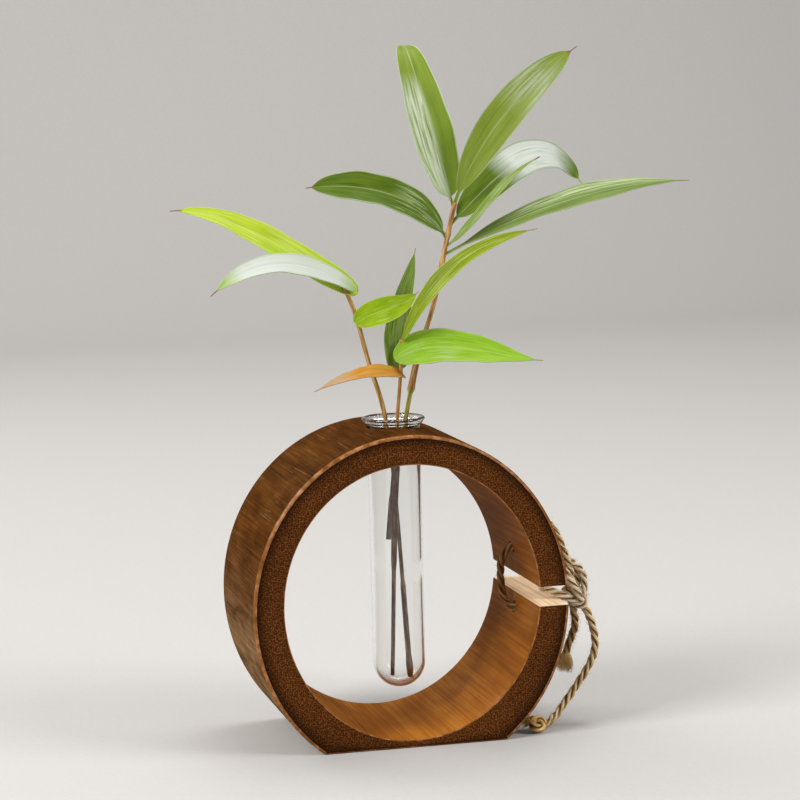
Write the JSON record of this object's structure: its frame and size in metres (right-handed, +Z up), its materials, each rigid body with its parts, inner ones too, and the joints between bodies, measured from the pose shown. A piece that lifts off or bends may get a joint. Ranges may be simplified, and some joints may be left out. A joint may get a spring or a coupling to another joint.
{
  "type": "bud vase",
  "caption": "Bud vase: an upright ring of dark bamboo on a flat foot, a glass test tube hung in its crown, a twine lashing across a saw gap, and leafy bamboo sprigs.",
  "frame": {"origin": "centre of the ring's sawn foot, on the surface it stands on", "axes": "+Z up; the culm's axis runs along Y with the front face towards -Y; +X points to the side with the saw gap"},
  "size_m": [0.1955, 0.0759, 0.2588],
  "materials": {
    "carbonised_bamboo": "satin, oiled",
    "clear_glass": "clear, polished",
    "hemp_twine": "rough, twisted hemp",
    "twig": "satin bark",
    "green_leaf": "satin leaf",
    "dry_leaf": "satin, withered leaf"
  },
  "bodies": {
    "vase": {"bamboo_ring": "carbonised_bamboo", "lashing_loop": "hemp_twine", "lashing_knot": "hemp_twine", "long_tail": "hemp_twine", "long_tail_knot": "hemp_twine", "short_tail": "hemp_twine", "short_tail_fray": "hemp_twine"},
    "tube": {"glass_tube": "clear_glass"},
    "front_sprigs": {"left_stem": "twig", "left_leaf_far": "green_leaf", "left_leaf_near": "green_leaf", "left_leaf_small": "green_leaf", "front_stem": "twig", "front_leaf_old": "dry_leaf", "front_leaf_upright": "green_leaf", "front_leaf_broad": "green_leaf", "front_leaf_rising": "green_leaf"},
    "tall_sprig": {"tall_stem": "twig", "tall_leaf_upright": "green_leaf", "tall_leaf_top": "green_leaf", "tall_leaf_arching": "green_leaf", "tall_leaf_narrow": "green_leaf", "tall_leaf_long": "green_leaf", "tall_leaf_left": "green_leaf"}
  },
  "joints": [
    {"name": "tube_lift", "type": "slide", "parent": "vase", "child": "tube", "axis": [0, 0, 1], "range_m": [0, 0.103]},
    {"name": "front_sprigs_lift", "type": "slide", "parent": "tube", "child": "front_sprigs", "axis": [0, 0, 1], "range_m": [0, 0.101]},
    {"name": "tall_sprig_lift", "type": "slide", "parent": "tube", "child": "tall_sprig", "axis": [0, 0, 1], "range_m": [0, 0.102]}
  ]
}
